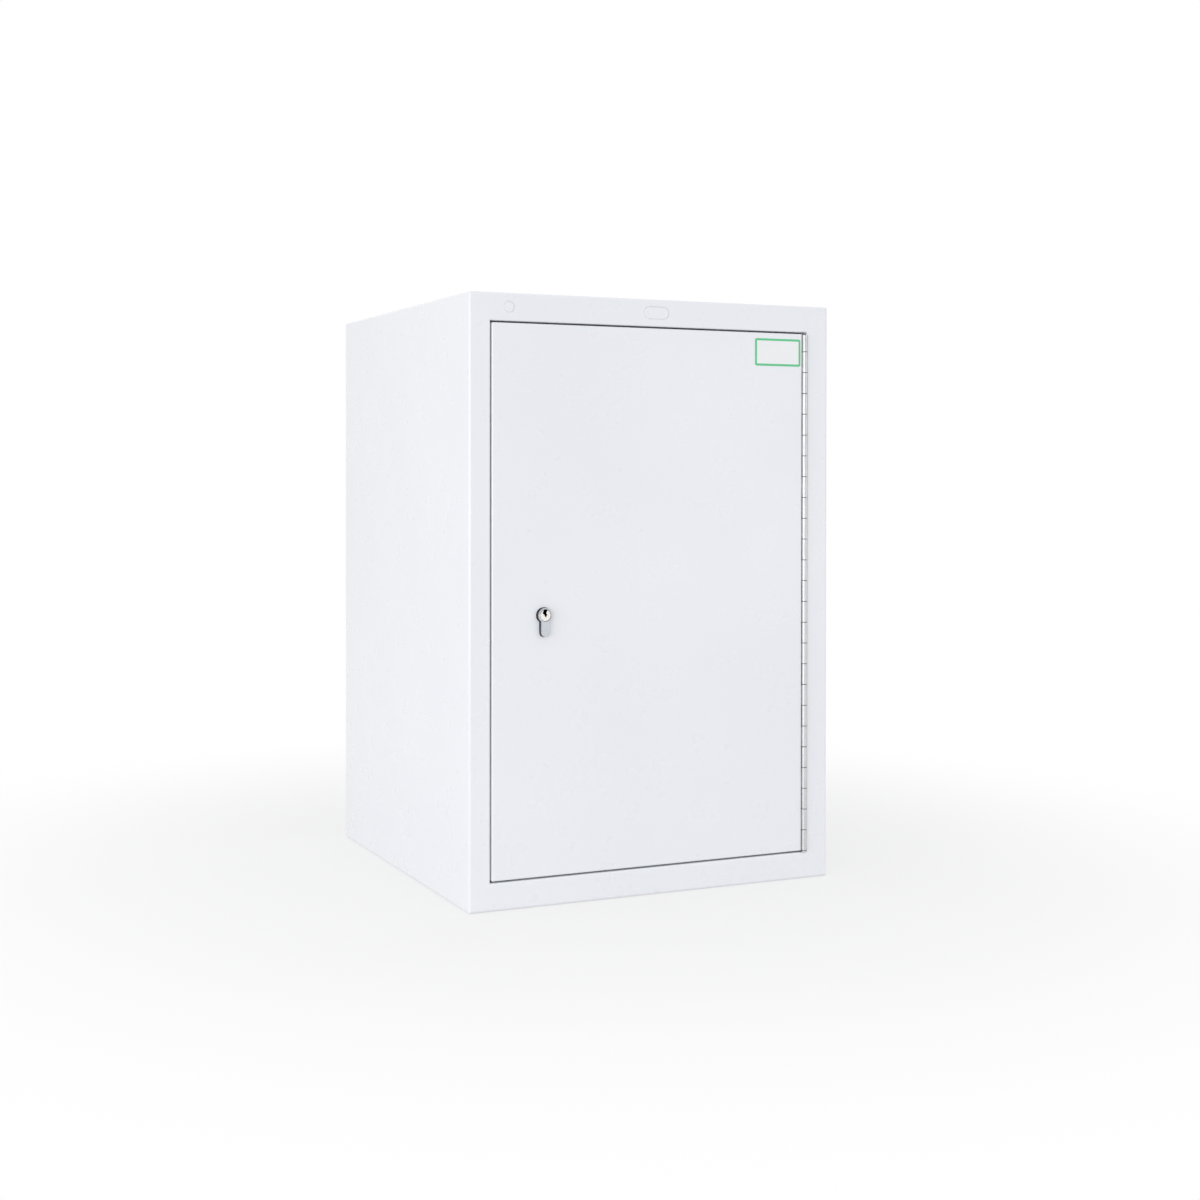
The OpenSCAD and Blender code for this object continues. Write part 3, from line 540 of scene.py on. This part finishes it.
def hinge():
    knuckled_leaf("hinge_leaf_frame", "frame_leaf_knuckled")
    knuckled_leaf("hinge_leaf_door", "door_leaf_knuckled")
    hinge_pin()
    rivet_row("frame_hinge_rivets", "frame_rivets_domed", -1)
    rivet_row("door_hinge_rivets", "door_rivets_domed", 1)


# ---------------------------------------------------------------- lock


def front_edges(piece, depth, keep=lambda middle: True):
    """Selects the edges of a piece that lie in its foremost plane."""
    def in_front(edge):
        a, b = (corner.co for corner in edge.verts)
        return abs(a.y - depth) < 0.01 * MM and abs(b.y - depth) < 0.01 * MM and keep((a + b) / 2)
    choose(piece, "edges", in_front)


def profile_housing(key):
    """The housing of the profile cylinder, with a bright chamfer round its face and its bore."""
    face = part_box("cylinder_body")[0].y
    bore = 6.9 * MM
    bore_chamfer = 0.45 * MM
    outer_chamfer = 0.6 * MM
    housing = fair_copy("cylinder_body")
    open_mesh(housing, "EDGE")

    def in_bore(middle):
        return math.hypot(middle.x - key.x, middle.z - key.z) < bore

    for inside, width in ((True, bore_chamfer), (False, outer_chamfer)):
        front_edges(housing, face, lambda middle: in_bore(middle) == inside)
        bpy.ops.mesh.bevel(offset=width, segments=2, profile=0.5, clamp_overlap=False)
    close_mesh()
    smooth(housing)
    hand_over(housing, "profile_housing", "cylinder_body")


def key_plug():
    """The plug that the key turns, with a worn edge round its face and its keyway."""
    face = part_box("cylinder_plug")[0].y
    plug = fair_copy("cylinder_plug")
    open_mesh(plug, "EDGE")
    front_edges(plug, face)
    bpy.ops.mesh.bevel(offset=WORN_EDGE, segments=2, profile=0.5, clamp_overlap=False)
    close_mesh()
    smooth(plug)
    hand_over(plug, "key_plug_worn", "cylinder_plug")


def cross_head(shank, head, rise, length):
    """A pan-head screw with a cross recess: its head on Z 0 and its shank below."""
    outline = [(0, -length), (shank - 0.4, -length), (shank, -length + 0.6), (shank, 0), (head, 0),
               (head, 0.3 * rise), (0.94 * head, 0.62 * rise), (0.78 * head, 0.86 * rise),
               (0.5 * head, 0.98 * rise), (0, rise)]
    screw = turned([(radius * MM, height * MM) for radius, height in outline], 28)
    for turn in (0, math.pi / 2):
        bpy.ops.mesh.primitive_cube_add(size=MM, location=(0, 0, rise * MM), rotation=(0, 0, turn))
        cutter = bpy.context.object
        cutter.scale = (1.25 * head, 0.26 * head, 1.1 * rise)
        pick_only(cutter)
        bpy.ops.object.transform_apply(location=True, rotation=True, scale=True)
        open_mesh(cutter)
        choose(cutter, "faces", lambda side: side.normal.z < -0.9)
        bpy.ops.transform.resize(value=(0.45, 0.45, 1), center_override=(0, 0, 0))
        close_mesh()
        pick_only(screw)
        recess = screw.modifiers.new("recess", "BOOLEAN")
        recess.object = cutter
        recess.solver = "EXACT"
        bpy.ops.object.modifier_apply(modifier=recess.name)
        bpy.data.objects.remove(cutter)
    return screw


def screw_set(node, name, sizes, direction):
    """A set of screws: one is made, and a copy goes where the CAD has each."""
    shank, head, rise = sizes
    across = Vector(direction)
    screws = []
    for low, high in solids_of(node):
        middle = (low + high) / 2
        half = abs((high - low).dot(across)) / 2
        screw = cross_head(shank, head, rise, 2 * half / MM - rise)
        screws.append(put(screw, middle + across * (half - rise * MM), direction))
    row = joined(screws)
    smooth(row)
    hand_over(row, name, node)


def gear_axle():
    """The axle of the drive gear, headed behind the case and faced off in front."""
    low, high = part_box("gear_axle")
    length = (high.y - low.y) / MM
    outline = [(0, 0), (2.7, 0), (3, 0.3), (3, length - 1.2), (4.8, length - 1.2), (4.8, length - 0.5),
               (4.5, length - 0.12), (4.0, length), (0, length)]
    axle = turned([(radius * MM, height * MM) for radius, height in outline], 32)
    put(axle, ((low.x + high.x) / 2, low.y, (low.z + high.z) / 2), (0, 1, 0))
    smooth(axle)
    hand_over(axle, "gear_axle_headed", "gear_axle")


def lock(key):
    profile_housing(key)
    key_plug()
    gear_axle()
    screw_set("lock_screws", "lock_screws_cross", (2, 3.6, 2.2), (0, 1, 0))
    screw_set("guide_screws", "guide_screws_cross", (1.75, 3.2, 2), (0, 1, 0))
    screw_set("cylinder_screw", "cylinder_screw_cross", (2.45, 4.4, 2.8), (1, 0, 0))


# ---------------------------------------------------------------- sheet metal


def knockouts():
    """The punched blanks of the top rail, each with a pressed, rounded rim."""
    for node, name in (("round_knockout", "round_blank"), ("slot_knockout", "slot_blank")):
        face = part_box(node)[0].y
        blank = fair_copy(node)
        open_mesh(blank, "EDGE")
        front_edges(blank, face)
        bpy.ops.mesh.bevel(offset=BLANK_RIM, segments=4, profile=0.5, clamp_overlap=False)
        close_mesh()
        smooth(blank, 60)
        hand_over(blank, name, node)


def buffers():
    """Soft domed pads where the shut door rests."""
    pads = []
    for low, high in solids_of("door_buffers"):
        pad = turned([(radius * MM, height * MM) for radius, height in (
            (0, 0), (4, 0), (4, 0.7), (3.75, 1.25), (3.1, 1.7), (2, 1.94), (0, 2))], 28)
        put(pad, ((low.x + high.x) / 2, high.y, (low.z + high.z) / 2), (0, -1, 0))
        pads.append(pad)
    row = joined(pads)
    smooth(row, 50)
    hand_over(row, "buffers_domed", "door_buffers")


def sheet_metal():
    knockouts()
    buffers()


# ---------------------------------------------------------------- studio

SKY_LEVEL = 0.88
# Each flag's direction, the cosines at its edge and at its core, and its level
GREY_FLAGS = (
    ((-0.40, -0.91, 0.05), 0.78, 0.97, 0.45),
    ((0.98, -0.17, 0), 0.80, 0.98, 0.55),
)
FLOOR_SIDE = 40
FLOOR_LEVEL = 0.56
# Each lamp's name, place, aim and power
SOFTBOX_SIZE = (1.4, 1.2)
SOFTBOXES = (
    ("key", (-2.0, -2.4, 0.35), (-0.1, -0.1, 0.35), 16.4),
    ("side", (-2.4, -1.0, 0.35), (-0.24, -0.1, 0.35), 13.0),
    ("fill", (1.9, -2.4, 0.35), (0, -0.2, 0.35), 5.2),
)

def seen_directly(tree):
    """One for camera, mirror and glass rays, and nothing for the light that falls on things."""
    path = tree.nodes.new("ShaderNodeLightPath")
    first = tree.nodes.new("ShaderNodeMath")
    first.operation = "ADD"
    tree.links.new(path.outputs["Is Camera Ray"], first.inputs[0])
    tree.links.new(path.outputs["Is Glossy Ray"], first.inputs[1])
    total = tree.nodes.new("ShaderNodeMath")
    total.operation = "ADD"
    total.use_clamp = True
    tree.links.new(first.outputs[0], total.inputs[0])
    tree.links.new(path.outputs["Is Transmission Ray"], total.inputs[1])
    return total.outputs[0]


def ranged(tree, value, start, end, low, high, smooth=False):
    """Turns a value that runs from start to end into one from low to high."""
    node = tree.nodes.new("ShaderNodeMapRange")
    node.interpolation_type = "SMOOTHSTEP" if smooth else "LINEAR"
    tree.links.new(value, node.inputs["Value"])
    for name, number in (("From Min", start), ("From Max", end), ("To Min", low), ("To Max", high)):
        if isinstance(number, bpy.types.NodeSocket):
            tree.links.new(number, node.inputs[name])
        else:
            node.inputs[name].default_value = number
    return node.outputs[0]


def studio_world():
    """White to look at, an even light on everything, and grey flags that only glossy rays see."""
    world = bpy.data.worlds.new("studio_world")
    world.use_nodes = True
    bpy.context.scene.world = world
    tree = world.node_tree
    sky = tree.nodes["Background"]
    sky.inputs["Color"].default_value = (1, 1, 1, 1)
    place = tree.nodes.new("ShaderNodeTexCoord")
    path = tree.nodes.new("ShaderNodeLightPath")
    mirrored = 1.0
    for direction, edge, core, grey in GREY_FLAGS:
        towards = tree.nodes.new("ShaderNodeVectorMath")
        towards.operation = "DOT_PRODUCT"
        tree.links.new(place.outputs["Generated"], towards.inputs[0])
        towards.inputs[1].default_value = direction
        mirrored = ranged(tree, towards.outputs["Value"], edge, core, mirrored, grey, smooth=True)
    shown = ranged(tree, path.outputs["Is Glossy Ray"], 0, 1, 1.0, mirrored)
    tree.links.new(ranged(tree, seen_directly(tree), 0, 1, SKY_LEVEL, shown), sky.inputs["Strength"])


def studio_floor():
    """A white floor that keeps the shadow near the cabinet and runs out to plain white."""
    bpy.ops.mesh.primitive_plane_add(size=FLOOR_SIDE, location=(0, 0, -0.0005))
    floor = bpy.context.object
    floor.name = "studio_floor"
    material = bpy.data.materials.new("studio_floor")
    material.use_nodes = True
    tree = material.node_tree
    tree.nodes.remove(tree.nodes["Principled BSDF"])
    paper = tree.nodes.new("ShaderNodeBsdfDiffuse")
    paper.inputs["Color"].default_value = (0.86, 0.86, 0.86, 1)
    glow = tree.nodes.new("ShaderNodeEmission")
    tree.links.new(ranged(tree, seen_directly(tree), 0, 1, FLOOR_LEVEL, 1.0), glow.inputs["Strength"])
    place = tree.nodes.new("ShaderNodeTexCoord")
    distance = tree.nodes.new("ShaderNodeVectorMath")
    distance.operation = "LENGTH"
    tree.links.new(place.outputs["Object"], distance.inputs[0])
    reach = ranged(tree, distance.outputs["Value"], 0.35, 1.1, 0.55, 1.0, smooth=True)
    blend = tree.nodes.new("ShaderNodeMixShader")
    tree.links.new(reach, blend.inputs["Fac"])
    tree.links.new(paper.outputs[0], blend.inputs[1])
    tree.links.new(glow.outputs[0], blend.inputs[2])
    tree.links.new(blend.outputs[0], tree.nodes["Material Output"].inputs["Surface"])
    floor.data.materials.append(material)


def softbox(name, place, aim, power):
    """A soft rectangular lamp at place that looks at aim."""
    lamp = bpy.data.lights.new(name, "AREA")
    lamp.shape = "RECTANGLE"
    lamp.size, lamp.size_y = SOFTBOX_SIZE
    lamp.energy = power
    box = bpy.data.objects.new(name, lamp)
    box.location = place
    box.rotation_euler = (Vector(aim) - Vector(place)).to_track_quat("-Z", "Y").to_euler()
    bpy.context.scene.collection.objects.link(box)


def set_up_studio():
    """Large lamps at the cabinet's own height, strongest on the left, where its side is brightest."""
    bpy.context.scene.view_settings.view_transform = "Standard"
    studio_world()
    studio_floor()
    for name, place, aim, power in SOFTBOXES:
        softbox(name, place, aim, power)


# ---------------------------------------------------------------- all of it

set_up_camera()
finishes = finish_everything()
key_low, key_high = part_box("cylinder_plug")
hinge()
lock((key_low + key_high) / 2)
sheet_metal()
set_up_studio()
